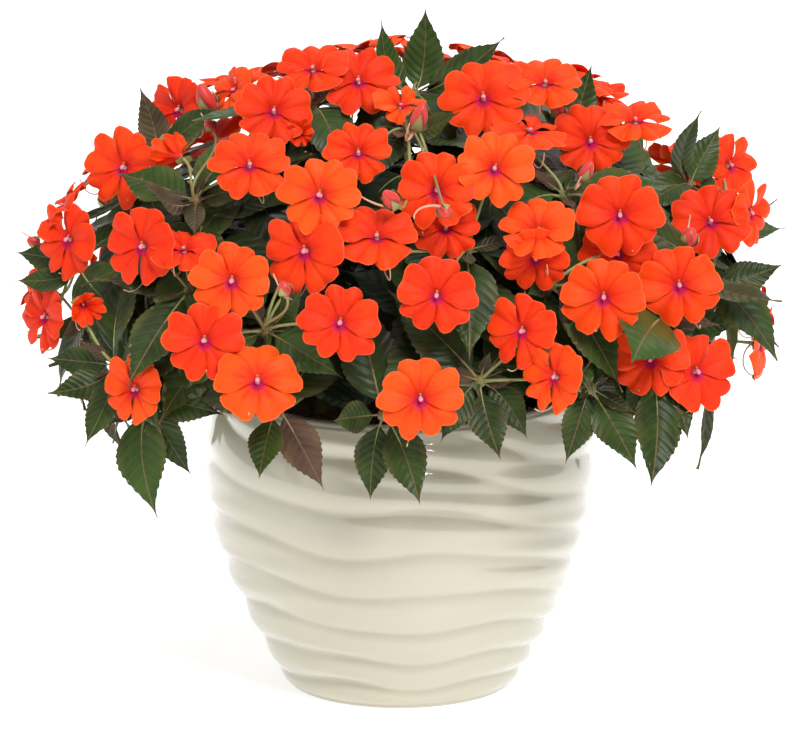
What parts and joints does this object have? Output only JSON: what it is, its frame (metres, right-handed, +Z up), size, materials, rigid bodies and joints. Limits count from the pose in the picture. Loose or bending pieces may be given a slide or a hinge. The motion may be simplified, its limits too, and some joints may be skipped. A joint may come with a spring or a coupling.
{
  "type": "potted flowering plant",
  "caption": "New Guinea impatiens with orange blooms and dark whorled leaves in a round glazed pot with wavy ridges.",
  "frame": {"origin": "centre of the pot's foot, on the face it rests on", "axes": "+Z up; the pictured side faces -Y, and +X runs to the right in the picture"},
  "size_m": [0.58, 0.5507, 0.5276],
  "materials": {
    "pot_glaze": "gloss",
    "soil": "matte",
    "leaf": "satin",
    "petal": "matte"
  },
  "bodies": {
    "root": {"pot": "pot_glaze", "bloom_01": "petal", "bloom_02": "petal", "bloom_03": "petal", "bloom_04": "petal", "bloom_05": "petal", "bloom_06": "petal", "bloom_07": "petal", "bloom_08": "petal", "bloom_09": "petal", "bloom_10": "petal", "bloom_11": "petal", "bloom_12": "petal", "bloom_13": "petal", "bloom_14": "petal", "bloom_15": "petal", "bloom_16": "petal", "bloom_17": "petal", "bloom_18": "petal", "bloom_19": "petal", "bloom_20": "petal", "bloom_21": "petal", "bloom_22": "petal", "bloom_23": "petal", "bloom_24": "petal", "bloom_25": "petal", "bloom_26": "petal", "bloom_27": "petal", "bloom_28": "petal", "bloom_29": "petal", "bloom_30": "petal", "bloom_31": "petal", "bloom_32": "petal", "bloom_33": "petal", "bloom_34": "petal", "bloom_35": "petal", "bloom_36": "petal", "bloom_37": "petal", "bloom_38": "petal", "bloom_39": "petal", "bloom_40": "petal", "bloom_41": "petal", "bloom_42": "petal", "bloom_43": "petal", "bloom_44": "petal", "bloom_45": "petal", "bloom_46": "petal", "bloom_47": "petal", "bloom_48": "petal", "bloom_49": "petal", "bloom_50": "petal", "soil": "soil", "leafy_stem_01": "leaf", "leafy_stem_02": "leaf", "leafy_stem_03": "leaf", "leafy_stem_04": "leaf", "leafy_stem_05": "leaf", "leafy_stem_06": "leaf", "leafy_stem_07": "leaf", "leafy_stem_08": "leaf"}
  },
  "joints": []
}
